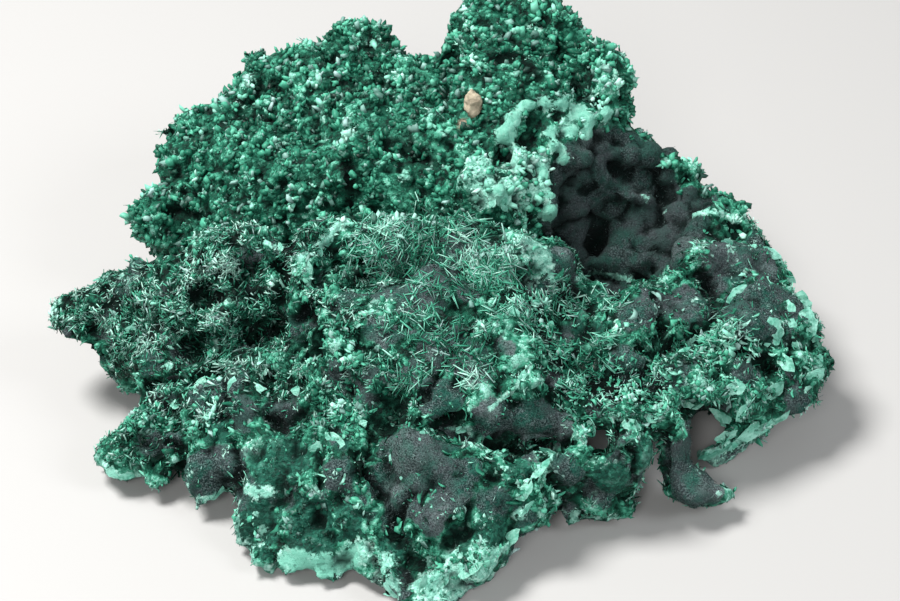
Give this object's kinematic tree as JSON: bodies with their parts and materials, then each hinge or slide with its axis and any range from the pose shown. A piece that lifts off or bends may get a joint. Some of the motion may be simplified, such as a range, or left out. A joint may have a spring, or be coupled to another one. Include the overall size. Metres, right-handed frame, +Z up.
{
  "type": "velvet malachite specimen",
  "caption": "Irregular hand-sized crust of fibrous green malachite with knobbly lobes, a dark velvety pocket, broken plate rims and a flat resting side.",
  "frame": {"origin": "under the middle of the bounding box, on the surface that the specimen rests on", "axes": "+X to the right along the length of the crust, -Y to the front lobes, +Z up from the flat resting side"},
  "size_m": [0.1112, 0.0992, 0.0407],
  "materials": {
    "malachite": "velvety and fibrous, with silky needles",
    "host_rock": "matt, rough"
  },
  "bodies": {
    "root": {"malachite_crust": "malachite", "host_rock_chip": "host_rock"}
  },
  "joints": []
}
